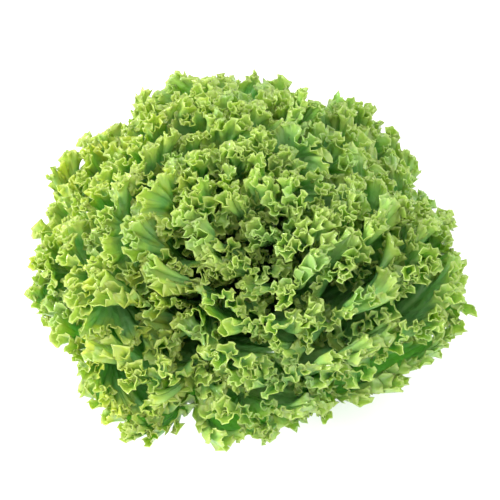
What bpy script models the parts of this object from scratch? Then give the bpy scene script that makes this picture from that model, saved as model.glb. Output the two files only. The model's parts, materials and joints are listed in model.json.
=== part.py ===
"""Green leaf lettuce: a cut head that stands on its butt, one solid for the stem and one for each leaf.

Metres, +Z up. The origin is the middle of the cut face under the stem.
"""

import math

import bpy
import numpy as np

# The head
LEAF_COUNT = 59
DIVERGENCE = math.radians(137.508)
FIRST_AZIMUTH = math.radians(250)
SEED = 34

# The stem, from its cut face up to the growing tip
BUTT_RADIUS = 0.0185
BUTT_TOP = 0.0080
BUTT_BULGE = 0.0006
STEM_HEIGHT = 0.0540
SHOULDER_HEIGHT = 0.0510
SHOULDER_RADIUS = 0.0055
STEM_SIDES = 32
TIP_STEPS = 3

# Where the leaves leave the stem, and how far they lean from upright, outermost and innermost
LOWEST_LEAF = 0.0110
HIGHEST_LEAF = 0.0500
STEM_TO_LEAF = 0.0010
START_LEAN = (math.radians(86), math.radians(3))
END_LEAN = (math.radians(38), math.radians(0))
LEAST_BEND = 0.01
LEAF_LENGTH = (0.149, 0.120)
LENGTH_DRAW = (0.92, 1.04)
AZIMUTH_DRAW = math.radians(0.7)

# The head seen from above: how much further than average it reaches, how many times round, and the
# direction in which it does
LOBES = (
    (0.023, 1, math.radians(-66)),
    (0.016, 2, math.radians(-5)),
    (0.057, 3, math.radians(-28)),
    (0.023, 4, math.radians(-41)),
)

# The outline of a leaf
HALF_WIDTH = (0.100, 0.012)
FULLEST_BEYOND_MIDDLE = 0.7
FULLEST = 1.175
SPINE_SHARE = 0.72
WIDEST_SPAN = math.radians(42)
SIDE_GAP = 0.0014
BASE_SPAN = 0.60
OUTLINE_SAMPLES = 400

# Thickness of the midrib at the stem, outermost and innermost, and of the blade
RIB_AT_STEM = (0.0025, 0.0010)
RIB_THINNER_AT_MARGIN = 0.35
BLADE = 0.0010

# Rows of points from the margin to the spine: depth behind the margin, the most of the way to the
# spine that it may take, and margin points per point of the row
MARGIN_ROW = (0.0, 0.01, 1)
INNER_ROWS = ((0.014, 0.50, 2), (0.034, 0.80, 4))
SPINE_STRIDE = 4
NARROW = 0.040
MARGIN_STEPS = (47, 19)

# Ruffles, counted in ranks. Each leaf has one side a little lower than the other, by so many ranks a
# radian, which leaves 4.2 ranks between any two leaves that lie over each other.
SIDE_TILT = 1.35
FINE_RUFFLE = 0.98
FINE_DEPTH = 0.011
BROAD_RUFFLE = 0.54
BROAD_DEPTH = 0.036
BROAD_WAVE = 5.3
BROAD_WANDER = (2.7, 0.5)
UNEVEN_WAVE = 7.3
UNEVEN_SHARE = 0.12
WAVE_DRAW = (0.85, 1.15)
HEART_BEGINS = 0.70
HEART_RUFFLE = 0.4
LOBE_REACH = 0.10
TOOTH_REACH = 0.035
RUFFLES_BEGIN = 0.10
RUFFLES_FULL = 0.42
PLAIN_BESIDE_RIB = 0.012

# One smooth crumpling of the whole head, which moves neighbouring leaves alike
CRUMPLE_WAVES = 6
CRUMPLE_LENGTHS = ((0.075, 0.115), (0.034, 0.048))
CRUMPLE_HEIGHTS = (0.0036, 0.0012)
CRUMPLE_BEGINS = 0.030
CRUMPLE_FULL = 0.085
CRUMPLE_CENTRE = 0.030

# A hollow in the near side of the head, and a furrow that runs from it to the rim. Both are pushed in
# towards the centre.
HOLLOW_CENTRE = 0.050
HOLLOW_BEGINS = 0.035
HOLLOW_FULL = 0.095
HOLLOW_SITE = (-0.023, -0.084, 0.125)
HOLLOW_DEPTH = 0.022
HOLLOW_RADIUS = 0.013
FURROW_X = -0.035
FURROW_DEPTH = 0.012
FURROW_WIDTH = 0.008
FURROW_BEGINS = -0.070
FURROW_FULL = -0.090

LEAF_COLOURS = {
    "outer_leaf": (0.40, 0.58, 0.09, 1.0),
    "middle_leaf": (0.30, 0.52, 0.07, 1.0),
    "heart_leaf": (0.36, 0.56, 0.10, 1.0),
}
STEM_COLOUR = (0.78, 0.82, 0.55, 1.0)


def clear_scene():
    for item in list(bpy.data.objects):
        bpy.data.objects.remove(item)


def material(name, colour, roughness):
    made = bpy.data.materials.new(name)
    made.use_nodes = True
    shader = made.node_tree.nodes["Principled BSDF"]
    shader.inputs["Base Color"].default_value = colour
    shader.inputs["Roughness"].default_value = roughness
    shader.inputs["Metallic"].default_value = 0.0
    made.diffuse_color = colour
    return made


def between(pair, share):
    """The value that lies this share of the way from the outermost to the innermost."""
    return pair[0] + (pair[1] - pair[0]) * share


def smooth_step(low, high, value):
    share = np.clip((value - low) / (high - low), 0, 1)
    return share * share * (3 - 2 * share)


def stem_radius(height):
    """Radius of the stem, a cone from the butt to the shoulder under its tip."""
    share = (height - BUTT_TOP) / (SHOULDER_HEIGHT - BUTT_TOP)
    return BUTT_RADIUS + (SHOULDER_RADIUS - BUTT_RADIUS) * share


def layer_length(share):
    return between(LEAF_LENGTH, share**2)


def layer_point(rank, along):
    """Radius and height at a distance along the layer of this rank, a circular arc that leaves the stem.

    Leaf 0 is the outermost. A rank between two whole numbers gives the space between two leaves, so
    layers never cross, and a ruffle is a change of rank.
    """
    share = rank / (LEAF_COUNT - 1)
    start_height = LOWEST_LEAF + (HIGHEST_LEAF - LOWEST_LEAF) * share
    start_radius = stem_radius(start_height) + STEM_TO_LEAF
    lean = between(START_LEAN, share)
    bend = (between(END_LEAN, share) - lean) / layer_length(share)
    bend = np.where(np.abs(bend) < LEAST_BEND, LEAST_BEND, bend)
    radius = start_radius + (np.cos(lean) - np.cos(lean + bend * along)) / bend
    height = start_height + (np.sin(lean + bend * along) - np.sin(lean)) / bend
    return radius, height


def lobe(azimuth):
    """How much further than average the head reaches in a direction."""
    return 1 + sum(share * np.cos(times * (azimuth - toward)) for share, times, toward in LOBES)


def push_in(points):
    """Pushes the hollow and the furrow into the head, most at its surface and not at all at its centre."""
    centre = np.array((0.0, 0.0, HOLLOW_CENTRE))
    offset = points - centre
    away = np.linalg.norm(offset, axis=-1, keepdims=True)
    inwards = -offset / np.maximum(away, 1e-9)
    toward = np.array(HOLLOW_SITE) - centre
    toward /= np.linalg.norm(toward)
    beside = np.linalg.norm(offset - (offset @ toward)[..., None] * toward, axis=-1)
    before = smooth_step(0, HOLLOW_RADIUS, offset @ toward)
    hollow = HOLLOW_DEPTH * before * np.exp(-((beside / HOLLOW_RADIUS) ** 2))
    across = (points[..., 0] - FURROW_X) / FURROW_WIDTH
    reached = smooth_step(-FURROW_BEGINS, -FURROW_FULL, -points[..., 1])
    furrow = FURROW_DEPTH * reached * np.exp(-(across**2))
    surface = smooth_step(HOLLOW_BEGINS, HOLLOW_FULL, away)
    return points + inwards * surface * np.maximum(hollow, furrow)[..., None]


class Crumple:
    """A sum of slow sine waves in space, none where the leaves leave the stem."""

    def __init__(self, draw):
        self.waves = []
        for lengths, height in zip(CRUMPLE_LENGTHS, CRUMPLE_HEIGHTS):
            for _ in range(CRUMPLE_WAVES):
                heading = draw.normal(size=3)
                heading *= 2 * math.pi / draw.uniform(*lengths) / np.linalg.norm(heading)
                push = draw.normal(size=3)
                push *= height / np.linalg.norm(push)
                self.waves.append((heading, push, draw.uniform(0, 2 * math.pi)))

    def __call__(self, points):
        away = np.linalg.norm(points - np.array((0.0, 0.0, CRUMPLE_CENTRE)), axis=-1)
        rising = smooth_step(CRUMPLE_BEGINS, CRUMPLE_FULL, away)[..., None]
        moved = points.copy()
        for heading, push, start in self.waves:
            moved += rising * push * np.sin(points @ heading + start)[..., None]
        return moved


class Leaf:
    """One leaf's place in the spiral, its outline and its ruffles."""

    def __init__(self, rank, draw):
        share = rank / (LEAF_COUNT - 1)
        self.rank = rank
        self.azimuth = FIRST_AZIMUTH + rank * DIVERGENCE + draw.uniform(-AZIMUTH_DRAW, AZIMUTH_DRAW)
        self.length = layer_length(share) * draw.uniform(*LENGTH_DRAW)
        self.half_width = between(HALF_WIDTH, share)
        self.rib = between(RIB_AT_STEM, share)
        self.steps = 8 * round(between(MARGIN_STEPS, share) / 8)
        self.starts = draw.uniform(0, 2 * math.pi, 3)
        self.waves = draw.uniform(*WAVE_DRAW, 3)
        self.height = between((1.0, HEART_RUFFLE), smooth_step(HEART_BEGINS, 1.0, share))
        self.measure()

    def margin(self, turn):
        """Distance across and along the leaf at its margin. turn is 0 at the tip and pi at the stem."""
        obovate = np.sin(turn) * (1 + FULLEST_BEYOND_MIDDLE * np.cos(turn)) / FULLEST
        base = BASE_SPAN * layer_point(self.rank, 0.0)[0] * (1 - np.cos(turn)) / 2
        across = np.sqrt((self.half_width * obovate) ** 2 + base**2 * (turn > 0))
        return across, self.length * (1 + np.cos(turn)) / 2

    def measure(self):
        """Measures the margin from the tip to the stem, so that its steps can be even."""
        self.turns = np.linspace(0, math.pi, OUTLINE_SAMPLES)
        across, along = self.margin(self.turns)
        edge = self.place(across, along, 0.0, 1.0)
        paces = np.linalg.norm(np.diff(edge, axis=0), axis=1)
        self.paces = np.concatenate(([0.0], np.cumsum(paces)))

    def place(self, across, along, ruffle, side):
        """A point across and along the leaf, moved by a ruffle to the layers beside its own."""
        plain_radius = layer_point(self.rank, along)[0]
        span = WIDEST_SPAN - SIDE_GAP / plain_radius
        turned = side * span * np.tanh(across / (plain_radius * span))
        azimuth = self.azimuth + turned
        stretched = along * (1 + (lobe(azimuth) - 1) * smooth_step(0, self.length, along))
        rank = self.rank + ruffle - SIDE_TILT * turned * smooth_step(0, self.length / 2, along)
        radius, height = layer_point(rank, stretched)
        return np.stack((radius * np.cos(azimuth), radius * np.sin(azimuth), height), axis=-1)

    def broad_turn(self, steps):
        """Phase of the broad waves, whose length wanders along the margin."""
        turn = 2 * math.pi * steps / (BROAD_WAVE * self.waves[1]) + self.starts[0]
        length, reach = BROAD_WANDER
        return turn + reach * np.sin(turn / length + self.starts[2])

    def ruffle(self, steps, depth):
        """Change of rank by fine folds and broad waves that fade behind the margin."""
        uneven = np.cos(2 * math.pi * steps / (UNEVEN_WAVE * self.waves[0]) + self.starts[1])
        fine = FINE_RUFFLE * (1 - UNEVEN_SHARE + UNEVEN_SHARE * uneven) * np.cos(math.pi * steps)
        broad = BROAD_RUFFLE * np.cos(self.broad_turn(steps))
        fine_here = np.exp(-((depth / FINE_DEPTH) ** 2))
        broad_here = np.exp(-((depth / BROAD_DEPTH) ** 2))
        return self.height * (fine * fine_here + broad * broad_here)

    def outward(self, steps, depth):
        """How much further than the plain outline the lobes and teeth reach."""
        lobes = LOBE_REACH * np.sin(self.broad_turn(steps)) * np.exp(-((depth / BROAD_DEPTH) ** 2))
        teeth = TOOTH_REACH * np.cos(math.pi * steps) * np.exp(-((depth / FINE_DEPTH) ** 2))
        return 1 + self.height * (lobes + teeth)

    def row(self, depth, most, stride):
        """Points of one row behind the margin, from the stem round the tip and back."""
        steps = np.arange(0, self.steps + 1, stride)
        side = steps / self.steps * 2 - 1
        turn = np.interp(np.abs(side) * self.paces[-1], self.paces, self.turns)
        across, along = self.margin(turn)
        reach = np.hypot(across, along * (1 - SPINE_SHARE))
        inward = most * np.tanh(depth / (most * reach))
        rising = smooth_step(RUFFLES_BEGIN, RUFFLES_FULL, along / self.length)
        way_out = (1 - inward) * (1 + rising * (self.outward(steps, inward * reach) - 1))
        across = across * way_out
        along = along * (SPINE_SHARE + (1 - SPINE_SHARE) * way_out)
        from_rib = np.hypot(across, np.maximum(0, along - SPINE_SHARE * self.length))
        rising = rising * smooth_step(0, PLAIN_BESIDE_RIB, from_rib)
        ruffle = rising * self.ruffle(steps, inward * reach)
        return self.place(across, along, ruffle, np.sign(side)), self.thickness(turn, inward)

    def spine(self):
        """Points of the midrib, from the stem to where the blade fans out, and back."""
        steps = np.arange(0, self.steps // 2 + 1, SPINE_STRIDE)
        turn = np.interp((1 - steps / (self.steps / 2)) * self.paces[-1], self.paces, self.turns)
        along = self.margin(turn)[1] * SPINE_SHARE
        return self.place(0 * along, along, 0.0, 1.0), self.thickness(turn, 1.0)

    def thickness(self, turn, inward):
        """The midrib is thickest at the stem, and the blade is even."""
        near_stem = ((1 - np.cos(turn)) / 2) ** 2
        rib = self.rib * near_stem + BLADE * (1 - near_stem)
        return rib * (1 - RIB_THINNER_AT_MARGIN * (1 - inward) * near_stem)


def strip(inner, outer):
    """Triangles between two rows of point numbers. The outer row has as many points, or twice as many."""
    faces = []
    doubled = len(outer) > len(inner)
    for k in range(len(inner) - 1):
        if doubled:
            first, middle, last = outer[2 * k : 2 * k + 3]
            faces += [
                (inner[k], middle, first),
                (inner[k], inner[k + 1], middle),
                (inner[k + 1], last, middle),
            ]
        else:
            faces += [
                (inner[k], inner[k + 1], outer[k]),
                (inner[k + 1], outer[k + 1], outer[k]),
            ]
    return faces


def make_leaf(leaf, crumple, name, finish, parts):
    """An open surface of rows from the spine to the margin, given its thickness by Solidify."""
    spine_points, spine_thickness = leaf.spine()
    count = len(spine_points)
    points, thickness = [spine_points], [spine_thickness]
    # The two sides of the leaf share the spine's points.
    numbers = [list(range(count)) + list(range(count - 2, -1, -1))]
    # A narrow leaf has room for one row between its spine and its margin.
    inner_rows = INNER_ROWS if leaf.half_width > NARROW else INNER_ROWS[:1]
    for depth, most, stride in reversed((MARGIN_ROW, *inner_rows)):
        row_points, row_thickness = leaf.row(depth, most, stride)
        numbers.append(list(range(count, count + len(row_points))))
        points.append(row_points)
        thickness.append(row_thickness)
        count += len(row_points)
    faces = []
    for inner, outer in zip(numbers, numbers[1:]):
        faces += strip(inner, outer)

    mesh = bpy.data.meshes.new(name)
    mesh.from_pydata(push_in(crumple(np.concatenate(points))).tolist(), [], faces)
    mesh.materials.append(finish)
    item = bpy.data.objects.new(name, mesh)
    parts.objects.link(item)

    thickness = np.concatenate(thickness)
    group = item.vertex_groups.new(name="thickness")
    for index, share in enumerate(thickness / thickness.max()):
        group.add([index], float(share), "REPLACE")
    solid = item.modifiers.new("Blade thickness", "SOLIDIFY")
    solid.thickness = thickness.max()
    solid.offset = 0.0
    solid.vertex_group = group.name
    solid.thickness_vertex_group = 0.0
    return item


def make_stem(finish, parts):
    """A turned cone with a flat cut face under it and a round growing tip."""
    profile = [(0.0, STEM_HEIGHT)]
    for k in range(1, TIP_STEPS + 1):
        angle = k / TIP_STEPS * math.pi / 2
        reach = SHOULDER_RADIUS * math.sin(angle)
        rise = (STEM_HEIGHT - SHOULDER_HEIGHT) * math.cos(angle)
        profile.append((reach, SHOULDER_HEIGHT + rise))
    profile.append((BUTT_RADIUS, BUTT_TOP))
    profile.append((BUTT_RADIUS + BUTT_BULGE, BUTT_TOP / 2))
    profile.append((BUTT_RADIUS, 0.0))
    profile.append((0.0, 0.0))

    mesh = bpy.data.meshes.new("stem")
    mesh.from_pydata(
        [(radius, 0.0, height) for radius, height in profile],
        [(k, k + 1) for k in range(len(profile) - 1)],
        [],
    )
    mesh.materials.append(finish)
    item = bpy.data.objects.new("stem", mesh)
    parts.objects.link(item)
    turned = item.modifiers.new("Turned", "SCREW")
    turned.steps = STEM_SIDES
    turned.render_steps = STEM_SIDES
    turned.use_merge_vertices = True
    turned.merge_threshold = 0.00001
    turned.use_smooth_shade = True
    return item


def main():
    clear_scene()
    parts = bpy.data.collections.new("green leaf lettuce")
    bpy.context.scene.collection.children.link(parts)
    finishes = {name: material(name, colour, 0.45) for name, colour in LEAF_COLOURS.items()}

    make_stem(material("stem", STEM_COLOUR, 0.6), parts)
    draw = np.random.default_rng(SEED)
    crumple = Crumple(draw)
    for rank in range(LEAF_COUNT):
        kind = list(finishes)[min(2, rank * 3 // LEAF_COUNT)]
        make_leaf(Leaf(rank, draw), crumple, f"leaf_{rank + 1:02d}", finishes[kind], parts)


main()
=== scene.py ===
# %% [markdown]
# # A head of green leaf lettuce
#
# This lesson dresses a plain model of a lettuce: a turned stem with a pleated solid for every leaf. The
# plain solids are loaded as a fixed frame. Each is then replaced with a finer piece in the same place, with
# curled frills, teeth along the margin, a midrib and a leafy finish.

# %% Load the plain model
import json
import math

import bpy
import numpy as np
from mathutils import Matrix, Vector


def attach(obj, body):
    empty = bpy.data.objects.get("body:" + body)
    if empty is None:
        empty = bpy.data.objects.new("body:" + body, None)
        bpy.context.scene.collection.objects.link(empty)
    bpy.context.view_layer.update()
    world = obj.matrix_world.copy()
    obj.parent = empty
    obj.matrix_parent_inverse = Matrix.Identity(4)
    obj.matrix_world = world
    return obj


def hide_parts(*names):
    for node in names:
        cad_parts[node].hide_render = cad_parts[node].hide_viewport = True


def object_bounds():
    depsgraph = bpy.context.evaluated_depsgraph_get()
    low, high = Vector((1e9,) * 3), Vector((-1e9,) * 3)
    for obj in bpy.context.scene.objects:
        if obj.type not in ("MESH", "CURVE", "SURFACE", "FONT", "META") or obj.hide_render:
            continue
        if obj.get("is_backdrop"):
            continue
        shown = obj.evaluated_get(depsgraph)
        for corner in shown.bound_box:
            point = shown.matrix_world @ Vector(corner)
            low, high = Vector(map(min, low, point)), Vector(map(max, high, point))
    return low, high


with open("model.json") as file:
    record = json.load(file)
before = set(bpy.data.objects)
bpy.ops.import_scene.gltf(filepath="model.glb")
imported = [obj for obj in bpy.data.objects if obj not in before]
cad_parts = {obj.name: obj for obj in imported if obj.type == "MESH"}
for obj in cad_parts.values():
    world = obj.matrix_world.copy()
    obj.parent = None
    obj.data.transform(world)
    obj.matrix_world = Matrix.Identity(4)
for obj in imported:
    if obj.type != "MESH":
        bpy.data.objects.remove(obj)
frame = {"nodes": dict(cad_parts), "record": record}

cad_box = [list(corner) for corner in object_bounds()]
leaf_nodes = sorted(name for name in frame["nodes"] if name.startswith("leaf_"))
LEAF_COUNT = len(leaf_nodes)
sides = [round((high - low) * 1000) for low, high in zip(*cad_box)]
print(LEAF_COUNT, "leaves in a head of", " x ".join(map(str, sides)), "mm")

# %% [markdown]
# ## Helpers for shapes
#
# A leaf is a sheet: points in rows, with triangles between neighbouring rows. Near the margin a row needs
# many points for the teeth, while the calm blade behind it needs few. So a row has as many points as the
# next one, or twice as many, and one function joins both kinds.

# %% Join rows of points
def smooth_step(low, high, value):
    """0 below low, 1 above high, and a curve of 3 s^2 - 2 s^3 between them."""
    share = np.clip((value - low) / (high - low), 0, 1)
    return share * share * (3 - 2 * share)


def between(pair, share):
    """The value that lies this share of the way from the outermost leaf to the innermost."""
    return pair[0] + (pair[1] - pair[0]) * share


def strip(inner, outer):
    """Triangles between two rows of point numbers, the outer with as many points or twice as many."""
    if len(outer) == len(inner):
        a, b, c, d = inner[:-1], inner[1:], outer[1:], outer[:-1]
        return np.concatenate((np.stack((a, b, d), 1), np.stack((b, c, d), 1)))
    a, b = inner[:-1], inner[1:]
    first, middle, last = outer[:-1:2], outer[1::2], outer[2::2]
    return np.concatenate(
        (np.stack((a, middle, first), 1), np.stack((a, b, middle), 1), np.stack((b, last, middle), 1))
    )


def point_normals(points, faces):
    """The sum of the cross products of the faces round each point, made one unit long."""
    corners = points[faces]
    cross = np.cross(corners[:, 1] - corners[:, 0], corners[:, 2] - corners[:, 0])
    spread = np.repeat(cross, 3, axis=0)
    total = [np.bincount(faces.ravel(), spread[:, axis], len(points)) for axis in range(3)]
    total = np.stack(total, axis=1)
    return total / np.maximum(np.linalg.norm(total, axis=1, keepdims=True), 1e-12)


def shell(points, faces, thickness):
    """Closes a sheet: a copy half the thickness above it, one below, and a wall along its open edges."""
    count = len(points)
    lift = point_normals(points, faces) * thickness[:, None] / 2
    starts, ends = faces.ravel(), np.roll(faces, -1, axis=1).ravel()
    open_edge = ~np.isin(starts * count + ends, ends * count + starts)
    a, b = starts[open_edge], ends[open_edge]
    wall = np.concatenate((np.stack((b, a, a + count), 1), np.stack((b, a + count, b + count), 1)))
    all_faces = np.concatenate((faces, faces[:, ::-1] + count, wall))
    return np.concatenate((points + lift, points - lift)), all_faces


def new_piece(name, points, faces, **attributes):
    """A smooth mesh object at the origin, with one float attribute for each array given."""
    mesh = bpy.data.meshes.new(name)
    mesh.from_pydata(points, [], faces)
    mesh.polygons.foreach_set("use_smooth", np.ones(len(faces), bool))
    for key, values in attributes.items():
        mesh.attributes.new(key, "FLOAT", "POINT").data.foreach_set("value", values.astype(np.float32))
    piece = bpy.data.objects.new(name, mesh)
    bpy.context.scene.collection.objects.link(piece)
    return piece


print("shape helpers are ready")

# %% [markdown]
# ## Layers
#
# Leaves of a head lie over each other and never cross. To keep that true however wildly they curl, every
# leaf gets a rank, 0 for the outermost, and every rank gets a layer: a bowl whose outline is a circular arc
# that leaves the stem. A ruffle is then only a small change of rank, which moves a point towards the next
# layer. The arcs are those of the plain model, so the fine leaves fall where the plain ones are. Only their
# tips are turned: outwards in front, where their rims then face the viewer, and slightly inwards behind.

# %% Layers of the head
BUTT_RADIUS, BUTT_TOP = 0.0185, 0.0080
SHOULDER_RADIUS, SHOULDER_HEIGHT = 0.0055, 0.0510
LOWEST_LEAF, HIGHEST_LEAF = 0.0110, 0.0500
STEM_TO_LEAF = 0.0010
START_LEAN = (math.radians(86), math.radians(3))
END_LEAN = (math.radians(38), math.radians(0))
LEAST_BEND = 0.01
LEAF_LENGTH = (0.149, 0.120)
CURL_BEGINS, CURL_IN_FRONT, CURL_BEHIND = 0.50, math.radians(44), math.radians(-12)
HEART_UNCURLED, CURLED_OUTSIDE = 1.0, 0.75


def stem_radius(height):
    """Radius of the stem, a straight cone from the butt to the shoulder."""
    share = (height - BUTT_TOP) / (SHOULDER_HEIGHT - BUTT_TOP)
    return BUTT_RADIUS + (SHOULDER_RADIUS - BUTT_RADIUS) * share


def layer_length(share):
    """Length of a leaf on its layer, which falls with the square of the share of the way to the heart."""
    return between(LEAF_LENGTH, share**2)


def tip_curl(share, azimuth):
    """How far a tip turns outwards, as an angle.

    In front it grows with the share of the way to the heart and fades in the heart itself. Behind it is
    inwards, and fades by the square of that share. The sine of the azimuth leads from one to the other.
    """
    front = (1 - np.sin(azimuth)) / 2
    inner = share * smooth_step(HEART_UNCURLED, CURLED_OUTSIDE, share)
    return front * CURL_IN_FRONT * inner + (1 - front) * CURL_BEHIND * (1 - share**2)


def layer_point(rank, along, azimuth=None):
    """Radius and height at a distance along a layer.

    A layer is a circular arc that leaves the stem at its own lean. Its tip is moved square to the arc by
    the square of the distance past the place where the curl begins.
    """
    share = rank / (LEAF_COUNT - 1)
    start_height = LOWEST_LEAF + (HIGHEST_LEAF - LOWEST_LEAF) * share
    start_radius = stem_radius(start_height) + STEM_TO_LEAF
    lean = between(START_LEAN, share)
    bend = (between(END_LEAN, share) - lean) / layer_length(share)
    bend = np.where(np.abs(bend) < LEAST_BEND, LEAST_BEND, bend)
    heading = lean + bend * along
    radius = start_radius + (np.cos(lean) - np.cos(heading)) / bend
    height = start_height + (np.sin(heading) - np.sin(lean)) / bend
    if azimuth is not None:
        past = np.maximum(0, along / layer_length(share) - CURL_BEGINS)
        aside = tip_curl(share, azimuth) * layer_length(share) * past**2 / (2 * (1 - CURL_BEGINS))
        radius = radius + aside * np.cos(heading)
        height = height - aside * np.sin(heading)
    return radius, height


outermost_tip = [round(float(value) * 1000) for value in layer_point(0, LEAF_LENGTH[0])]
print("the outermost tip is at radius and height, mm:", outermost_tip)

# %% [markdown]
# ## The outline of the head
#
# Seen from above, the head isn't round. Its leaves reach further in some directions than in others, by a sum
# of cosines round the head. A lobe is told by how much further it reaches, how many of its kind go round the
# head, and where the first one points. The fine head has smaller lobes besides those of the plain model, and
# its outermost leaves are short at the right of the front.

# %% Lobes of the head
LOBES = (
    (0.023, 1, math.radians(-66)),
    (0.016, 2, math.radians(-5)),
    (0.057, 3, math.radians(-28)),
    (0.023, 4, math.radians(-41)),
)
FINE_LOBES = (
    (0.034, 2, math.radians(-10)),
    (0.020, 3, math.radians(-11)),
    (0.026, 4, math.radians(-34)),
    (0.034, 5, math.radians(-24)),
    (0.026, 6, math.radians(-21)),
    (0.016, 7, math.radians(-1)),
)
NOTCH_TOWARD, NOTCH_WIDTH, NOTCH_DEPTH = math.radians(304), math.radians(17), 0.13
NOTCH_ENDS, NOTCH_IS_WHOLE = 0.15, 0.05


def waves_round(lobes, azimuth):
    """The sum of reach * cos(times * (azimuth - toward)) over the lobes."""
    return sum(reach * np.cos(times * (azimuth - toward)) for reach, times, toward in lobes)


def lobe(azimuth, share):
    """How far a leaf reaches in a direction, as a share of the mean.

    1 plus the waves round the head, of which the fine ones fade towards the heart, less a bell where the
    outermost leaves are short.
    """
    beside = (azimuth - NOTCH_TOWARD + math.pi) % (2 * math.pi) - math.pi
    outermost = smooth_step(NOTCH_ENDS, NOTCH_IS_WHOLE, share)
    notch = NOTCH_DEPTH * np.exp(-((beside / NOTCH_WIDTH) ** 2)) * outermost
    return 1 + waves_round(LOBES, azimuth) + (1 - share) * waves_round(FINE_LOBES, azimuth) - notch


reaches = lobe(np.linspace(0, 2 * math.pi, 361), 0.0)
least, most = (round(float(reach), 2) for reach in (reaches.min(), reaches.max()))
print("the lowest leaves reach", least, "to", most, "of the mean")

# %% [markdown]
# ## Crumpling
#
# Bowls are too regular for a grown plant. One field of slow sine waves in space pushes the whole head about
# by some millimetres. Leaves that lie on each other are pushed alike, so they still don't cross.

# %% Crumple the head
CRUMPLE_WAVES = 6
CRUMPLE_LENGTHS = ((0.075, 0.115), (0.034, 0.048))
CRUMPLE_HEIGHTS = (0.0036, 0.0012)
CRUMPLE_BEGINS, CRUMPLE_FULL, CRUMPLE_CENTRE = 0.030, 0.085, 0.030
HEAD_SEED = 34


class Crumple:
    """Moves points by the sum of push * sin(heading . point + start) over the waves.

    The push fades towards the middle of the head, where the leaves have to meet the stem.
    """

    def __init__(self, draw):
        self.waves = []
        for shortest_to_longest, height in zip(CRUMPLE_LENGTHS, CRUMPLE_HEIGHTS):
            for _ in range(CRUMPLE_WAVES):
                heading = draw.normal(size=3)
                heading *= 2 * math.pi / draw.uniform(*shortest_to_longest) / np.linalg.norm(heading)
                push = draw.normal(size=3)
                push *= height / np.linalg.norm(push)
                self.waves.append((heading, push, draw.uniform(0, 2 * math.pi)))

    def __call__(self, points):
        away = np.linalg.norm(points - np.array((0.0, 0.0, CRUMPLE_CENTRE)), axis=-1)
        rising = smooth_step(CRUMPLE_BEGINS, CRUMPLE_FULL, away)[..., None]
        moved = points.copy()
        for heading, push, start in self.waves:
            moved += rising * push * np.sin(points @ heading + start)[..., None]
        return moved


draw = np.random.default_rng(HEAD_SEED)
crumple = Crumple(draw)
print(len(crumple.waves), "waves crumple the head")

# %% [markdown]
# ## A hollow and a furrow
#
# Left of the middle of its front, the head has a dark hollow, and a furrow runs down from it. There points
# are pushed towards the centre of the head. A push grows more slowly than the distance from the centre does,
# so leaves that lie on each other still don't cross.

# %% Push the leaves in
HOLLOW_CENTRE, HOLLOW_BEGINS, HOLLOW_FULL = 0.050, 0.025, 0.095
HOLLOW_SITE, HOLLOW_DEPTH, HOLLOW_RADIUS = (-0.045, -0.080, 0.120), 0.042, 0.019
FURROW_X, FURROW_DEPTH, FURROW_WIDTH = -0.036, 0.028, 0.0095
FURROW_BEGINS, FURROW_FULL = -0.040, -0.090


def push_in(points):
    """Pushes points towards the centre: by a bell round the hollow's axis and one across the furrow."""
    centre = np.array((0.0, 0.0, HOLLOW_CENTRE))
    offset = points - centre
    away = np.linalg.norm(offset, axis=-1, keepdims=True)
    inwards = -offset / np.maximum(away, 1e-9)
    toward = np.array(HOLLOW_SITE) - centre
    toward /= np.linalg.norm(toward)
    beside = np.linalg.norm(offset - (offset @ toward)[..., None] * toward, axis=-1)
    before = smooth_step(0, HOLLOW_RADIUS, offset @ toward)
    hollow = HOLLOW_DEPTH * before * np.exp(-((beside / HOLLOW_RADIUS) ** 2))
    across = (points[..., 0] - FURROW_X) / FURROW_WIDTH
    reached = smooth_step(-FURROW_BEGINS, -FURROW_FULL, -points[..., 1])
    furrow = FURROW_DEPTH * reached * np.exp(-(across**2))
    surface = smooth_step(HOLLOW_BEGINS, HOLLOW_FULL, away)
    return points + inwards * surface * np.maximum(hollow, furrow)[..., None]


deepest = push_in(np.array((HOLLOW_SITE,))) - np.array((HOLLOW_SITE,))
print("the hollow is pushed in by", round(float(np.linalg.norm(deepest)) * 1000), "mm")

# %% [markdown]
# ## One leaf
#
# A leaf is told by its margin: how far across and along it each point of the margin lies, from the tip down
# to the stem. Rows behind the margin shrink towards the spine, which ends before the tip, so that folds fan
# out as they do on the real leaf. Across becomes an angle round the stem, and along a distance on the layer.

# %% The outline of a leaf
DIVERGENCE = math.radians(137.508)
FIRST_AZIMUTH = math.radians(250)
LENGTH_DRAW, MEAN_LENGTH, EVEN_LENGTH = (0.92, 1.04), 0.98, 0.2
HALF_WIDTH = (0.100, 0.012)
FULLEST_BEYOND_MIDDLE, EGG_PEAK = 0.7, 1.175
SPINE_SHARE = 0.72
WIDEST_SPAN = math.radians(42)
SIDE_GAP = 0.0014
BASE_SPAN = 0.60
OUTLINE_SAMPLES = 400
SIDE_TILT = 1.35
MARGIN_STEPS, STEPS_AT_ONCE = (47, 19), 8
HEART_BEGINS, HEART_RUFFLE = 0.70, 0.85
BROAD_WAVE, BROAD_WANDER, BROAD_WANDER_TURN = 5.3, 0.5, 2.7
STRAY_DEGREES, WAVE_DRAW = 0.7, (0.85, 1.15)


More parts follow.
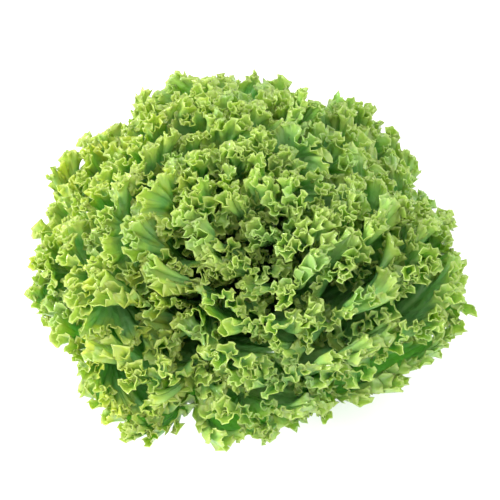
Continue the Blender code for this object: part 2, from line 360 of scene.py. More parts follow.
class Leaf:
    """One leaf's place in the spiral and its outline, drawn in the same order as in the plain model."""

    def __init__(self, rank, draw):
        share = rank / (LEAF_COUNT - 1)
        self.rank, self.share = rank, share
        self.azimuth = FIRST_AZIMUTH + rank * DIVERGENCE + self.stray(draw)
        longer = draw.uniform(*LENGTH_DRAW) - MEAN_LENGTH
        self.length = layer_length(share) * (MEAN_LENGTH + EVEN_LENGTH * longer)
        self.half_width = between(HALF_WIDTH, share)
        self.steps = STEPS_AT_ONCE * round(between(MARGIN_STEPS, share) / STEPS_AT_ONCE)
        self.starts = draw.uniform(0, 2 * math.pi, 3)
        self.waves = draw.uniform(*WAVE_DRAW, 3)
        self.height = between((1.0, HEART_RUFFLE), smooth_step(HEART_BEGINS, 1.0, share))
        self.measure()

    def stray(self, draw):
        """How far the leaf stands from its place in the spiral."""
        return math.radians(draw.uniform(-STRAY_DEGREES, STRAY_DEGREES))

    def margin(self, turn):
        """Across is an egg shape, sin * (1 + k * cos), and along is a cosine. The tip is at turn 0.

        The egg is divided by its peak, so that half_width is its widest. A narrow base is added at the stem.
        """
        obovate = np.sin(turn) * (1 + FULLEST_BEYOND_MIDDLE * np.cos(turn)) / EGG_PEAK
        base = BASE_SPAN * layer_point(self.rank, 0.0)[0] * (1 - np.cos(turn)) / 2
        across = np.sqrt((self.half_width * obovate) ** 2 + base**2 * (turn > 0))
        return across, self.length * (1 + np.cos(turn)) / 2

    def measure(self):
        """Lengths along the margin from the tip to the stem, so that steps along it can be even."""
        self.turns = np.linspace(0, math.pi, OUTLINE_SAMPLES)
        across, along = self.margin(self.turns)
        edge = self.place(across, along, 0.0, 1.0)
        paces = np.linalg.norm(np.diff(edge, axis=0), axis=1)
        self.paces = np.concatenate(([0.0], np.cumsum(paces)))

    def on_margin(self, steps):
        """Side, across and along at some steps along the margin. Side is -1 to 1, and 0 at the tip."""
        side = np.clip(steps / self.steps * 2 - 1, -1, 1)
        turn = np.interp(np.abs(side) * self.paces[-1], self.paces, self.turns)
        return (side, *self.margin(turn))

    def place(self, across, along, ruffle, side):
        """A point of the flat leaf, laid on the layer of its rank and moved by a ruffle across layers."""
        plain_radius = layer_point(self.rank, along)[0]
        span = WIDEST_SPAN - SIDE_GAP / plain_radius
        turned = side * span * np.tanh(across / (plain_radius * span))
        azimuth = self.azimuth + turned
        stretched = along * (1 + (lobe(azimuth, self.share) - 1) * smooth_step(0, self.length, along))
        rank = self.rank + ruffle - SIDE_TILT * turned * smooth_step(0, self.length / 2, along)
        radius, height = layer_point(rank, stretched, azimuth)
        return np.stack((radius * np.cos(azimuth), radius * np.sin(azimuth), height), axis=-1)

    def broad_turn(self, steps):
        """Phase of the broad waves, whose length wanders along the margin."""
        turn = 2 * math.pi * steps / (BROAD_WAVE * self.waves[1]) + self.starts[0]
        return turn + BROAD_WANDER * np.sin(turn / BROAD_WANDER_TURN + self.starts[2])


leaves = [Leaf(rank, draw) for rank in range(LEAF_COUNT)]
rim = 2 * leaves[0].paces[-1] * 1000
print("the lowest leaf has", round(rim), "mm of margin before it is frilled")

# %% [markdown]
# ## Frills
#
# A lettuce margin grows faster than the blade behind it and buckles: first in broad waves, then in folds,
# then in frills and small scallops, and each fades over its own distance behind the margin. A plain cosine
# gives soft hills. Sliding the points sideways by the sine of twice the phase turns each hill into a loop
# with a narrow neck, which is what makes the dark little tubes that a frilly head is full of.

# %% Folds and waves
FOLDS_A_STEP = 0.5
FOLD_RUFFLE, FOLD_FADE, FOLD_FALL = 1.75, 0.0260, 1.5
FOLD_WANDER = ((9.7, 0.20), (4.3, 0.08))
FOLD_MEAN, SLOW_UNEVEN, QUICK_UNEVEN = 0.80, (7.3, 0.13), (2.9, 0.07)
BROAD_RUFFLE, BROAD_DEPTH = 1.0, 0.036
LOOP, LOOP_FADE = 0.60, 0.0200
LOBE_REACH, SMALL_LOBE_REACH, SMALL_LOBE_WAVE = 0.12, 0.11, 2.3
FOLDS_BEGIN, FOLDS_FULL, PLAIN_BESIDE_RIB = 0.10, 0.42, 0.012
FRILLS_BEGIN, FRILLS_FULL = 0.28, 0.60


def fold_turn(leaf, steps):
    """Phase of the folds, which hurries and lags in two slow waves along the margin."""
    turn = 2 * math.pi * FOLDS_A_STEP * steps
    for number, (length, reach) in enumerate(FOLD_WANDER):
        turn = turn + 2 * math.pi * reach * np.sin(2 * math.pi * steps / length + leaf.starts[number])
    return turn


def uneven_folds(leaf, steps):
    """How high the folds are, as a share, which swings in a slow wave and a quick one."""
    slow = np.cos(2 * math.pi * steps / (SLOW_UNEVEN[0] * leaf.waves[0]) + leaf.starts[1])
    quick = np.cos(2 * math.pi * steps / (QUICK_UNEVEN[0] * leaf.waves[2]) + leaf.starts[2])
    return FOLD_MEAN + SLOW_UNEVEN[1] * slow + QUICK_UNEVEN[1] * quick


def ruffle(leaf, steps, depth):
    """Change of rank: a cosine of the fold phase and one of the broad phase, faded behind the margin."""
    fold = FOLD_RUFFLE * uneven_folds(leaf, steps) * np.cos(fold_turn(leaf, steps))
    fold = fold * np.exp(-((depth / FOLD_FADE) ** FOLD_FALL))
    broad = BROAD_RUFFLE * np.cos(leaf.broad_turn(steps)) * np.exp(-((depth / BROAD_DEPTH) ** 2))
    return leaf.height * (fold + broad)


def margin_lobes(leaf, steps, depth):
    """How much further out the margin lies: broad lobes and small ones, faded behind the margin."""
    broad = LOBE_REACH * np.sin(leaf.broad_turn(steps)) * np.exp(-((depth / BROAD_DEPTH) ** 2))
    small_turn = 2 * math.pi * steps / (SMALL_LOBE_WAVE * leaf.waves[2]) + leaf.starts[1]
    return broad + SMALL_LOBE_REACH * np.sin(small_turn) * np.exp(-((depth / FOLD_FADE) ** 2))


def sheet_row(leaf, steps, share_in):
    """Points of one row behind the margin, with their depth and how much they are frilled.

    share_in gives how far in a point lies, from the reach of the spine to the margin there. The row is laid
    out twice: first without its loops, for its depth, and then with its steps slid along by the loops.
    """
    side, across, along = leaf.on_margin(steps)
    reach = np.hypot(across, along * (1 - SPINE_SHARE))
    inward = share_in(reach)
    depth = inward * reach
    rising = smooth_step(FOLDS_BEGIN, FOLDS_FULL, along / leaf.length)
    frilly = smooth_step(FRILLS_BEGIN, FRILLS_FULL, along / leaf.length)

    slide = LOOP * np.sin(2 * fold_turn(leaf, steps)) * rising * np.exp(-depth / LOOP_FADE)
    side, across, along = leaf.on_margin(steps + slide / (2 * math.pi * FOLDS_A_STEP))
    way_out = (1 - inward) * (1 + rising * leaf.height * margin_lobes(leaf, steps, depth))
    across = across * way_out
    along = along * (SPINE_SHARE + (1 - SPINE_SHARE) * way_out)

    from_rib = np.hypot(across, np.maximum(0, along - SPINE_SHARE * leaf.length))
    clear = smooth_step(0, PLAIN_BESIDE_RIB, from_rib)
    moved = clear * rising * ruffle(leaf, steps, depth)
    return leaf.place(across, along, moved, np.sign(side)), depth, clear * frilly


print("folds every", round(rim / leaves[0].steps / FOLDS_A_STEP, 1), "mm of plain margin")

# %% [markdown]
# ## The sheet of a leaf
#
# Rows are listed from the spine to the margin. Those near the spine are told by their distance from it, and
# the others by their depth behind the margin. The last two rows carry the teeth, so they have eight times as
# many points as the spine. Frills stand on the folds, and scallops on the frills. They stand on the shape
# that is there before them, and so they follow it wherever it has curled.

# %% Rows, frills, scallops and teeth
COARSEST = 8

# Distance from the spine, and the most of the way out that the row may lie.
SPINE_ROWS = ((0.0018, 0.04), (0.0060, 0.09))

# Depth behind the margin, and stride. The most of the way in that a row may lie falls from first to last.
MARGIN_ROWS = (
    (0.036, 8), (0.022, 4), (0.0145, 2), (0.0095, 2), (0.0062, 2), (0.0036, 2), (0.0016, 1), (0.0, 1),
)
MOST_IN = (0.86, 0.02)
SPINE_DEPTH = 1.0
COLUMNS_PER_METRE, PLAIN_COLUMNS, COLUMN_SAMPLES = 3480, 0.25, 2001
FRILL = {"length": 0.0150, "height": 0.0059, "loop": 0.0036, "fade": 0.0120}
SCALLOP = {"length": 0.0087, "height": 0.0022, "loop": 0.0016, "fade": 0.0048}
WANDER, WANDER_LENGTHS = 0.9, (1.9, 0.87)
CURL_MEAN, CURL_UNEVEN, CURL_UNEVEN_LENGTH = 0.8, 0.25, 1.7
TOOTH_HEIGHT, TOOTH_OUT, TOOTH_IN = 0.0008, 1.0, -0.3
TOOTH_MEAN, TOOTH_UNEVEN, TOOTH_UNEVEN_LENGTH = 0.75, 0.5, 0.0047
CALM_SITE, CALM_RADIUS = (-0.022, -0.083, 0.126), 0.017


def from_spine(distance, most):
    """A row at a distance from the spine, and at most this share of the way out where the leaf is narrow."""
    return lambda reach: 1 - most * np.tanh(distance / (most * reach))


def from_margin(depth, most):
    """A row at a depth behind the margin, and at most this share of the way in where the leaf is narrow."""
    return lambda reach: most * np.tanh(depth / (most * reach))


def row_plan():
    """Each row's share_in and its stride: the number of columns from one of its points to the next."""
    plan = [(from_spine(distance, most), COARSEST) for distance, most in SPINE_ROWS]
    for k, (depth, stride) in enumerate(MARGIN_ROWS):
        plan.append((from_margin(depth, between(MOST_IN, k / (len(MARGIN_ROWS) - 1))), stride))
    return plan


def lengths(row):
    """Distance along a row of points, from its first."""
    return np.concatenate(([0.0], np.cumsum(np.linalg.norm(np.diff(row, axis=0), axis=1))))


def unit(vectors):
    """Vectors made one unit long."""
    return vectors / np.linalg.norm(vectors, axis=1, keepdims=True)


def wander(distance, length, start):
    """A phase of one turn per length, which runs ahead and behind in two slow waves."""
    first, second = WANDER_LENGTHS
    slow = WANDER * np.sin(distance / (first * length) + start)
    slow = slow + WANDER * np.sin(distance / (second * length) + 2 * start)
    return 2 * math.pi * distance / length + slow


def column_steps(leaf):
    """Where the columns stand along the margin: close where it is frilled, and far apart near the stem."""
    steps = np.linspace(0, leaf.steps, COLUMN_SAMPLES)
    rising = smooth_step(FRILLS_BEGIN, FRILLS_FULL, leaf.on_margin(steps)[2] / leaf.length)
    crowd = PLAIN_COLUMNS + (1 - PLAIN_COLUMNS) * rising
    passed = np.concatenate(([0.0], np.cumsum((crowd[1:] + crowd[:-1]) / 2)))
    frilled = 2 * leaf.paces[-1] * passed[-1] / (len(steps) - 1)
    columns = 2 * COARSEST * round(COLUMNS_PER_METRE * frilled / (2 * COARSEST))
    return np.interp(np.arange(columns + 1) / columns * passed[-1], passed, steps)


class Sheet:
    """A leaf without thickness.

    It has points and faces, the numbers of the points in each row and each row's stride. For each point it
    has the depth behind the margin, how much the point is frilled, and its place along the margin.
    """

    def __init__(self, leaf):
        self.leaf = leaf
        self.lay_rows()
        self.calm_down()
        self.curl(**FRILL)
        self.curl(**SCALLOP)
        self.rim = lengths(self.points[self.rows[-1]])
        self.cut_teeth()

    def lay_rows(self):
        """The spine, which both sides of the leaf share, and the rows from there out to the margin."""
        at = column_steps(self.leaf)
        spine_at = at[: len(at) // 2 + 1 : COARSEST]
        along = self.leaf.on_margin(spine_at)[2] * SPINE_SHARE
        count = len(spine_at)
        laid = [(self.leaf.place(0 * along, along, 0.0, 1.0), SPINE_DEPTH + 0 * along, 0 * along, spine_at)]
        self.rows = [np.concatenate((np.arange(count), np.arange(count - 2, -1, -1)))]
        self.strides = [COARSEST]
        for share_in, stride in row_plan():
            points, depth, frilled = sheet_row(self.leaf, at[::stride], share_in)
            laid.append((points, depth, frilled, at[::stride]))
            self.rows.append(np.arange(count, count + len(points)))
            self.strides.append(stride)
            count += len(points)
        points, self.depth, self.frilled, steps = (np.concatenate(values) for values in zip(*laid))
        self.points = push_in(crumple(points))
        self.fan = steps / self.leaf.steps
        self.faces = np.concatenate([strip(inner, outer) for inner, outer in zip(self.rows, self.rows[1:])])

    def calm_down(self):
        """Beside the hollow a part of a leaf stays smooth. There the frills fade, by a bell."""
        from_calm = np.linalg.norm(self.points - np.array(CALM_SITE), axis=1)
        self.frilled = self.frilled * (1 - np.exp(-((from_calm / CALM_RADIUS) ** 2)))

    def curl(self, length, height, loop, fade):
        """Lifts points by the cosine of a phase along the margin, and slides them by the sine of twice it."""
        distance = lengths(self.points[self.rows[-1]])
        turn = wander(distance, length, self.leaf.starts[1])
        swing = np.sin(distance / (CURL_UNEVEN_LENGTH * length) + self.leaf.starts[0])
        uneven = CURL_MEAN + CURL_UNEVEN * swing
        lift, slide = height * (uneven * np.cos(turn)), loop * (uneven * np.sin(2 * turn))
        here = self.frilled * np.exp(-self.depth / fade)
        normals = point_normals(self.points, self.faces)
        moved = self.points.copy()
        for row, stride in zip(self.rows[1:], self.strides[1:]):
            along_row = unit(np.gradient(self.points[row], axis=0))
            lifted, slid = lift[::stride] * here[row], slide[::stride] * here[row]
            moved[row] += normals[row] * lifted[:, None] + along_row * slid[:, None]
        self.points = moved

    def cut_teeth(self):
        """Every other point of the margin stands out as a tooth, some further than others."""
        edge, behind = self.rows[-1], self.rows[-2]
        outward = unit(self.points[edge] - self.points[behind])
        uneven = TOOTH_MEAN + TOOTH_UNEVEN * np.sin(self.rim / TOOTH_UNEVEN_LENGTH)
        tooth = np.where(np.arange(len(edge)) % 2, TOOTH_OUT, TOOTH_IN) * uneven
        self.points[edge] += outward * (TOOTH_HEIGHT * tooth * self.frilled[edge])[:, None]


lowest = Sheet(leaves[0])
print("the lowest leaf's sheet has", len(lowest.faces), "triangles and", round(lowest.rim[-1], 2), "m of rim")

# %% [markdown]
# ## Shader maths as expressions
#
# A node tree reads badly as a list of links. This small class wraps a socket, so that 1 - mask * 0.5 adds
# the Math nodes that it needs, and one function makes any other node.

# %% A socket that can be reckoned with
class Value:
    """A socket of a node tree. Arithmetic on it adds Math nodes."""

    def __init__(self, tree, socket):
        self.tree, self.socket = tree, socket

    def math(self, operation, *others):
        inputs = {0: self, **dict(enumerate(others, 1))}
        return node(self.tree, "ShaderNodeMath", {"operation": operation}, inputs)

    def __add__(self, other):
        return self.math("ADD", other)

    def __sub__(self, other):
        return self.math("SUBTRACT", other)

    def __mul__(self, other):
        return self.math("MULTIPLY", other)

    def __pow__(self, other):
        return self.math("POWER", other)

    def __neg__(self):
        return self * -1.0

    def __rsub__(self, other):
        return -self + other

    __radd__ = __add__
    __rmul__ = __mul__

    def rise(self, low, high):
        """0 below low, 1 above high, smooth between."""
        settings = {"interpolation_type": "SMOOTHSTEP"}
        inputs = {"Value": self, "From Min": low, "From Max": high}
        return node(self.tree, "ShaderNodeMapRange", settings, inputs)


def node(tree, kind, settings=None, inputs=None, output=0):
    """Adds a node, sets its settings first, then gives its sockets their values or links."""
    made = tree.nodes.new(kind)
    for key, value in (settings or {}).items():
        setattr(made, key, value)
    for key, value in (inputs or {}).items():
        if isinstance(value, Value):
            tree.links.new(value.socket, made.inputs[key])
        else:
            made.inputs[key].default_value = value
    return Value(tree, made.outputs[output]) if made.outputs else None


def mix(share, first, second):
    """A colour that is first where share is 0 and second where it is 1."""
    tree = share.tree
    made = tree.nodes.new("ShaderNodeMix")
    made.data_type = "RGBA"
    for index, value in ((0, share), (6, first), (7, second)):
        if isinstance(value, Value):
            tree.links.new(value.socket, made.inputs[index])
        else:
            made.inputs[index].default_value = (*value, 1.0)
    return Value(tree, made.outputs[2])


def noise(tree, place, scale, detail=2.0):
    """Cloudy patches: about as many to a metre as the scale says."""
    return node(tree, "ShaderNodeTexNoise", {}, {"Vector": place, "Scale": scale, "Detail": detail})


def attribute(tree, name):
    """A number that the mesh holds for each of its points."""
    return node(tree, "ShaderNodeAttribute", {"attribute_name": name}, output=2)


def new_material(name):
    """A material with no nodes yet, and its node tree."""
    made = bpy.data.materials.new(name)
    made.use_nodes = True
    made.node_tree.nodes.clear()
    return made, made.node_tree


print("sockets can be added and multiplied")

# %% [markdown]
# ## The finish of a leaf
#
# A lettuce leaf is thin, moist and lets light through, so about half of the light that meets it goes in and
# glows out again on both sides. Its green is deep and slightly blue in the folds, partly its own tone and
# partly painted shade that darkens the holes between the frills. It turns yellow towards the frills and ends
# in a thin pale rim, a painted edge highlight. Veins run from the midrib to the margin, a little paler and
# raised.
# Lime patches are more common at the left and the right is a deeper green: painted light and shade, as if lit
# from the left.

# %% Leaf finish
PALE_RIM_HIGHLIGHT, VEIN, LIME = (0.66, 0.74, 0.26), (0.46, 0.66, 0.22), (0.68, 0.74, 0.04)
SHADY_GLOW, SUNLIT_GLOW, GLOW_SHARE = (0.28, 0.60, 0.110), (0.60, 0.72, 0.08), 0.48
BROAD_PATCHES, PATCHES, COOL_PATCHES, SPECKLES = 28.0, 95.0, 43.0, 420.0
BUMPS, PUCKERS, PUCKERS_IN_FOLDS = 170.0, 75.0, 1.2
BROAD_SHIFT, PATCH_SHIFT = 0.018, 0.012
FRILLY_DEPTHS, INNER_DEPTHS, RIM_DEPTHS = (0.0005, 0.0065), (0.004, 0.016), (0.0001, 0.0009)
# The first two set painted light and shade across the head: lighter at the left, darker at the right.
RIGHT_TO_LEFT, LEAST_PAINTED_LIGHT, LEAST_WARMTH = (-0.05, 0.11), 0.25, 0.6
COOL_SHARE, SHADE_SHARE, LIME_SHARE, SPECKLE_SHARE, RIM_SHARE = 0.4, 0.35, 0.95, 0.2, 0.18
COOL_RANGE, LIME_RANGES, SPECKLE_RANGE = (0.50, 0.68), ((0.42, 0.66), (0.35, 0.65)), (0.35, 0.75)
VEINS, VEIN_WANDER, VEIN_EDGE, VEIN_DEPTHS, VEIN_SHARE = 26.0, 0.5, (0.04, 0.22), (0.002, 0.012), 0.25
BUMP_STRENGTH, BUMP_HEIGHT = 0.7, 0.0022
VEIN_RELIEF, RIB_RELIEF, SPECKLE_RELIEF = 0.15, 0.4, 0.15
LEAF_IOR, LEAST_ROUGHNESS, ROUGHER_PATCHES = 1.42, 0.30, 0.16
MOIST_GLOSS, GLOSS_ROUGHNESS = 0.9, 0.10


def fan_veins(depth, fan, broad):
    """Veins that fan out to the margin: 1 in the middle of each, and fading where the blade gets frilly."""
    place = fan * VEINS + (broad - 0.5) * VEIN_WANDER
    from_vein = (place.math("FRACT") - 0.5).math("ABSOLUTE")
    return (1 - from_vein.rise(*VEIN_EDGE)) * depth.rise(*VEIN_DEPTHS)


def leaf_skin(tree, colour, roughness, bump):
    """The outside of a leaf: coloured, bumpy and coated with a moist gloss."""
    inputs = {"Base Color": colour, "Roughness": roughness, "IOR": LEAF_IOR, "Normal": bump}
    inputs |= {"Coat Weight": MOIST_GLOSS, "Coat Roughness": GLOSS_ROUGHNESS}
    return node(tree, "ShaderNodeBsdfPrincipled", {}, inputs)


def leaf_glow(tree, warmth, bump):
    """Light that comes through: yellow-green where warmth is 1, and a cooler green where it is 0."""
    shady, sunlit = (
        node(tree, "ShaderNodeBsdfTranslucent", {}, {"Color": (*tone, 1.0), "Normal": bump})
        for tone in (SHADY_GLOW, SUNLIT_GLOW)
    )
    return node(tree, "ShaderNodeMixShader", {}, {0: warmth, 1: shady, 2: sunlit})


def leaf_material(name, deep, middling, bright):
    """Three greens by depth behind the margin, the deepest partly painted shade, other colours laid over
    them, and a mix of skin and glow.
    """
    made, tree = new_material(name)
    place = node(tree, "ShaderNodeTexCoord", output=3)
    depth, fan, rib = (attribute(tree, key) for key in ("depth", "fan", "rib"))
    broad, patch, speckle = (noise(tree, place, scale) for scale in (BROAD_PATCHES, PATCHES, SPECKLES))
    cool = noise(tree, place, COOL_PATCHES, 1.0).rise(*COOL_RANGE)
    x = node(tree, "ShaderNodeSeparateXYZ", {}, {0: place})
    # Painted light and shade: 1 at the left of the head, falling to its least at the right.
    painted_left_light = LEAST_PAINTED_LIGHT + (1 - LEAST_PAINTED_LIGHT) * (-x).rise(*RIGHT_TO_LEFT)
    yellow = broad.rise(*LIME_RANGES[0]) * patch.rise(*LIME_RANGES[1]) * painted_left_light * LIME_SHARE
    vein = fan_veins(depth, fan, broad)

    blade_depth = depth + (broad - 0.5) * BROAD_SHIFT + (patch - 0.5) * PATCH_SHIFT
    # Painted shade in part: the deep green behind the frills darkens the holes between them, besides the
    # leaf's own tone.
    inner = blade_depth.rise(*INNER_DEPTHS)
    colour = mix(inner, mix(blade_depth.rise(*FRILLY_DEPTHS), bright, middling), deep)
    for share, over in (
        # Random cool patches, and painted shade that darkens the right of the head.
        (cool * COOL_SHARE + (1 - painted_left_light) * SHADE_SHARE, deep),
        (yellow, LIME),
        (speckle.rise(*SPECKLE_RANGE) * SPECKLE_SHARE, VEIN),
        (vein * VEIN_SHARE, VEIN),
        (rib, VEIN),
        # Painted highlight: a thin pale line along the rim of the margin.
        ((1 - depth.rise(*RIM_DEPTHS)) * RIM_SHARE, PALE_RIM_HIGHLIGHT),
    ):
        colour = mix(share, colour, over)

    bumps = noise(tree, place, BUMPS, 1.0) + noise(tree, place, PUCKERS, 1.0) * (PUCKERS_IN_FOLDS + inner)
    height = (vein * VEIN_RELIEF + rib) * RIB_RELIEF + speckle * SPECKLE_RELIEF + bumps
    inputs = {"Strength": BUMP_STRENGTH, "Distance": BUMP_HEIGHT, "Height": height}
    bump = node(tree, "ShaderNodeBump", {}, inputs)
    skin = leaf_skin(tree, colour, LEAST_ROUGHNESS + broad * ROUGHER_PATCHES, bump)
    # The glow follows the lime patches, so it too is warmer at the left with the painted light.
    glow = leaf_glow(tree, (1 - inner) * (LEAST_WARMTH + (1 - LEAST_WARMTH) * yellow), bump)
    surface = node(tree, "ShaderNodeMixShader", {}, {0: GLOW_SHARE, 1: skin, 2: glow})
    node(tree, "ShaderNodeOutputMaterial", {}, {"Surface": surface})
    return made


# Deep, middling and bright greens. The deep one is partly painted shade for the holes behind the frills.
GREENS = {
    "outer_leaf": ((0.20, 0.51, 0.150), (0.43, 0.67, 0.125), (0.59, 0.69, 0.120)),
    "middle_leaf": ((0.20, 0.51, 0.145), (0.43, 0.67, 0.120), (0.59, 0.69, 0.115)),
    "heart_leaf": ((0.22, 0.54, 0.150), (0.45, 0.69, 0.130), (0.61, 0.71, 0.125)),
}
finishes = {slot: leaf_material(slot.replace("_", " "), *greens) for slot, greens in GREENS.items()}
print(len(finishes), "leaf finishes")

# %% [markdown]
# ## Every leaf
#
# A sheet becomes a leaf when it gets its thickness: thin at the margin, and thicker along the midrib, which
# stands out on both sides and swells towards the stem.

# %% Make the leaves
BLADE, BLADE_THICKENS = (0.0003, 0.0006), 0.004
RIB, RIB_ROWS = (0.0042, 0.0012), (1.0, 0.75, 0.12)
slot_of = {part["node"]: part["material_slot"] for part in frame["record"]["subparts"]}


def make_leaf(leaf, name):
    """Thickness is the blade's, and over the three rows at the spine the rib's, which swells to the stem."""
    sheet = Sheet(leaf)
    toward_stem = np.abs(sheet.fan * 2 - 1) ** 2
    rib = np.zeros(len(sheet.points))
    for row, share in zip(sheet.rows, RIB_ROWS):
        rib[row] = share * toward_stem[row]
    blade = between(BLADE, smooth_step(0, BLADE_THICKENS, sheet.depth))
    points, faces = shell(sheet.points, sheet.faces, blade + rib * between(RIB, leaf.share))
    on_both_sides = {"depth": np.tile(sheet.depth, 2), "fan": np.tile(sheet.fan, 2), "rib": np.tile(rib, 2)}
    piece = new_piece(name, points, faces, **on_both_sides)
    plain = name.removeprefix("fine_")
    slot = slot_of[plain]
    piece.data.materials.append(finishes[slot])
    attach(piece, "root")
    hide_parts(plain)
    return piece


pieces = [make_leaf(leaf, "fine_" + name) for leaf, name in zip(leaves, leaf_nodes)]
total = sum(len(piece.data.polygons) for piece in pieces)
print(len(pieces), "leaves with", total, "triangles")

# %% [markdown]
# ## The stem
#
# Turning a profile round the upright axis makes the stem. Faint ridges run up it, and it is cut off flat
# underneath, where the juice has dried to a brown ring. The leaves hide all of it but the butt.

# %% Make the stem
STEM_HEIGHT, BUTT_BULGE, CUT_EDGE = 0.0540, 0.0006, 0.0004
STEM_SIDES, RIDGES, RIDGE_HEIGHT, RIDGE_WANDER = 96, 13, 0.0003, 0.9
TIP_POINTS, CONE_POINTS, BUTT_POINTS, FACE_POINTS = 12, 14, 9, 12
FLESH, STREAK, CUT_BROWN = (0.60, 0.68, 0.34), (0.74, 0.78, 0.52), (0.30, 0.15, 0.06)
STREAKS, STREAK_STRETCH, STAINS = 700.0, (1.0, 1.0, 0.08), 260.0


def stem_profile():
    """Radius and height from the tip down: a quarter ellipse, a cone, a slight bulge and the cut face."""
    turn = np.linspace(0, math.pi / 2, TIP_POINTS)[1:]
    tip_height = STEM_HEIGHT - SHOULDER_HEIGHT
    tip = (SHOULDER_RADIUS * np.sin(turn), SHOULDER_HEIGHT + tip_height * np.cos(turn))
    height = np.linspace(SHOULDER_HEIGHT, BUTT_TOP, CONE_POINTS)[1:]
    cone = (stem_radius(height), height)
    down = np.linspace(0, 1, BUTT_POINTS)[1:-1]
    butt = (BUTT_RADIUS + BUTT_BULGE * np.sin(math.pi * down), BUTT_TOP * (1 - down))
    edge = (np.array((BUTT_RADIUS, BUTT_RADIUS - CUT_EDGE)), np.array((CUT_EDGE, 0.0)))
    inwards = np.linspace(BUTT_RADIUS - CUT_EDGE, 0, FACE_POINTS)[1:-1]
    cut_face = (inwards, 0 * inwards)
    return np.concatenate([np.stack(part, axis=1) for part in (tip, cone, butt, edge, cut_face)])


def make_stem(finish):
    """Rings of points joined by triangles, with a point at the tip and one in the middle of the cut face."""
    profile = stem_profile()
    upright = profile[:, 1]
    turn = 2 * math.pi * np.arange(STEM_SIDES) / STEM_SIDES
    beside = smooth_step(0, BUTT_TOP / 2, upright) * smooth_step(STEM_HEIGHT, SHOULDER_HEIGHT, upright)
    ridges = np.sin(RIDGES * turn + RIDGE_WANDER * np.sin(3 * turn))
    radius = profile[:, :1] + RIDGE_HEIGHT * beside[:, None] * ridges
    around = (radius * np.cos(turn), radius * np.sin(turn), profile[:, 1:] + 0 * radius)
    points = np.concatenate((np.stack(around, axis=-1).reshape(-1, 3), ((0, 0, STEM_HEIGHT), (0, 0, 0))))
    number = np.arange(len(profile) * STEM_SIDES).reshape(len(profile), STEM_SIDES)
    a, b = number[:-1], np.roll(number[:-1], -1, axis=1)
    c, d = np.roll(number[1:], -1, axis=1), number[1:]
    side = np.concatenate([np.stack(corners, axis=-1).reshape(-1, 3) for corners in ((a, d, b), (b, d, c))])
    top = np.stack((number[0], np.roll(number[0], -1), np.full(STEM_SIDES, len(points) - 2)), axis=1)
    bottom = np.stack((np.roll(number[-1], -1), number[-1], np.full(STEM_SIDES, len(points) - 1)), axis=1)
    piece = new_piece("fine_stem", points, np.concatenate((side, top, bottom)))
    piece.data.materials.append(finish)
    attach(piece, "root")
    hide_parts("stem")
    return piece


def stem_material():
    """Pale green flesh with upright streaks, and a cut face that is brown near its skin."""
    made, tree = new_material("stem")
    place = node(tree, "ShaderNodeTexCoord", output=3)
    x, y, z = (node(tree, "ShaderNodeSeparateXYZ", {}, {0: place}, output=axis) for axis in range(3))
    out = (x * x + y * y) ** 0.5
    stretched = node(tree, "ShaderNodeMapping", {}, {"Vector": place, "Scale": STREAK_STRETCH})
    streaks = noise(tree, stretched, STREAKS)
    colour = mix(streaks.rise(0.3, 0.7), FLESH, STREAK)
    cut = 1 - z.rise(0.0003, 0.0012)
    browned = cut * (0.45 + 0.55 * out.rise(0.010, 0.018)) * noise(tree, place, STAINS).rise(0.25, 0.6)
    colour = mix(browned, colour, CUT_BROWN)
    bump = node(tree, "ShaderNodeBump", {}, {"Strength": 0.3, "Distance": 0.0008, "Height": streaks})
    inputs = {"Base Color": colour, "Roughness": 0.5, "Normal": bump}
    flesh = node(tree, "ShaderNodeBsdfPrincipled", {}, inputs)
    node(tree, "ShaderNodeOutputMaterial", {}, {"Surface": flesh})
    return made


stem = make_stem(stem_material())
print("the stem has", len(stem.data.polygons), "triangles")

# %% [markdown]
# ## Floor, light and camera
#
# A pale floor and a soft light from the upper left, with a bright surrounding that fills the shade.
# The camera looks down on the head from the front.

# %% Stage
FLOOR_REACH, FLOOR_COLOUR = 4.0, (0.92, 0.92, 0.92, 1.0)
WINDOW_PLACE, WINDOW_SIZE, WINDOW_POWER = (-1.75, -0.3, 0.95), 0.45, 38
VIEW_CENTRE, VIEW_ELEVATION, VIEW_DISTANCE, VIEW_LENS = (0.0040, 0.0, 0.0797), 57, 1.115, 120
SURROUNDING, GAMMA = 2.05, 1.10


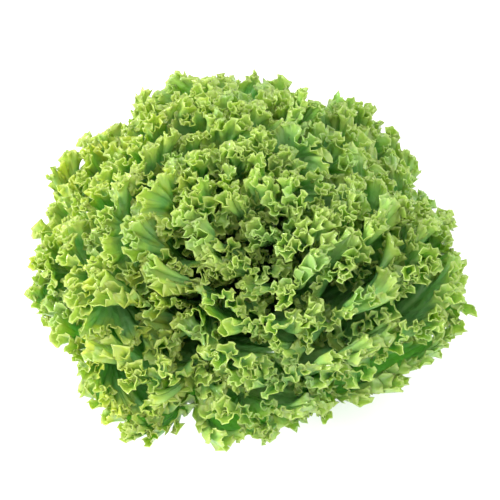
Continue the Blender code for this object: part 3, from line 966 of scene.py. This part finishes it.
def make_floor():
    """A flat square, far larger than what the camera sees."""
    mesh = bpy.data.meshes.new("floor")
    reach = FLOOR_REACH
    corners = [(-reach, -reach, 0), (reach, -reach, 0), (reach, reach, 0), (-reach, reach, 0)]
    mesh.from_pydata(corners, [], [(0, 1, 2, 3)])
    floor = bpy.data.objects.new("floor", mesh)
    bpy.context.scene.collection.objects.link(floor)
    paint = bpy.data.materials.new("floor")
    paint.use_nodes = True
    shader = paint.node_tree.nodes["Principled BSDF"]
    shader.inputs["Base Color"].default_value = FLOOR_COLOUR
    shader.inputs["Roughness"].default_value = 0.9
    mesh.materials.append(paint)
    floor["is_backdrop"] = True


def make_light(name, place, size, power):
    """A square lamp that shines at the origin."""
    lamp = bpy.data.lights.new(name, "AREA")
    lamp.size = size
    lamp.energy = power
    light = bpy.data.objects.new(name, lamp)
    light.location = place
    light.rotation_euler = light.location.to_track_quat("Z", "Y").to_euler()
    bpy.context.scene.collection.objects.link(light)


def make_camera(centre, elevation, distance, lens):
    """A camera in front of a centre, at a distance and an elevation in degrees, turned towards the centre."""
    camera = bpy.data.objects.new("camera", bpy.data.cameras.new("camera"))
    camera.data.lens = lens
    tilt = math.radians(elevation)
    back, up = distance * math.cos(tilt), distance * math.sin(tilt)
    camera.location = (centre[0], centre[1] - back, centre[2] + up)
    camera.rotation_euler = (math.pi / 2 - tilt, 0, 0)
    bpy.context.scene.collection.objects.link(camera)
    bpy.context.scene.camera = camera


def light_surroundings(strength):
    """White light from all round."""
    world = bpy.data.worlds.new("studio")
    world.use_nodes = True
    background = world.node_tree.nodes["Background"]
    background.inputs["Color"].default_value = (1, 1, 1, 1)
    background.inputs["Strength"].default_value = strength
    bpy.context.scene.world = world


make_floor()
make_light("window", WINDOW_PLACE, WINDOW_SIZE, WINDOW_POWER)
make_camera(VIEW_CENTRE, VIEW_ELEVATION, VIEW_DISTANCE, VIEW_LENS)
light_surroundings(SURROUNDING)
bpy.context.scene.view_settings.view_transform = "Standard"
bpy.context.scene.view_settings.gamma = GAMMA
print("the stage is set")

# %% Measure and finish
new_box = [list(corner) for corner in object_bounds()]
grown = [round(1000 * (n - c), 1) for low_high in zip(cad_box, new_box) for c, n in zip(*low_high)]
print("the fine box differs from the plain one by, mm:", grown)
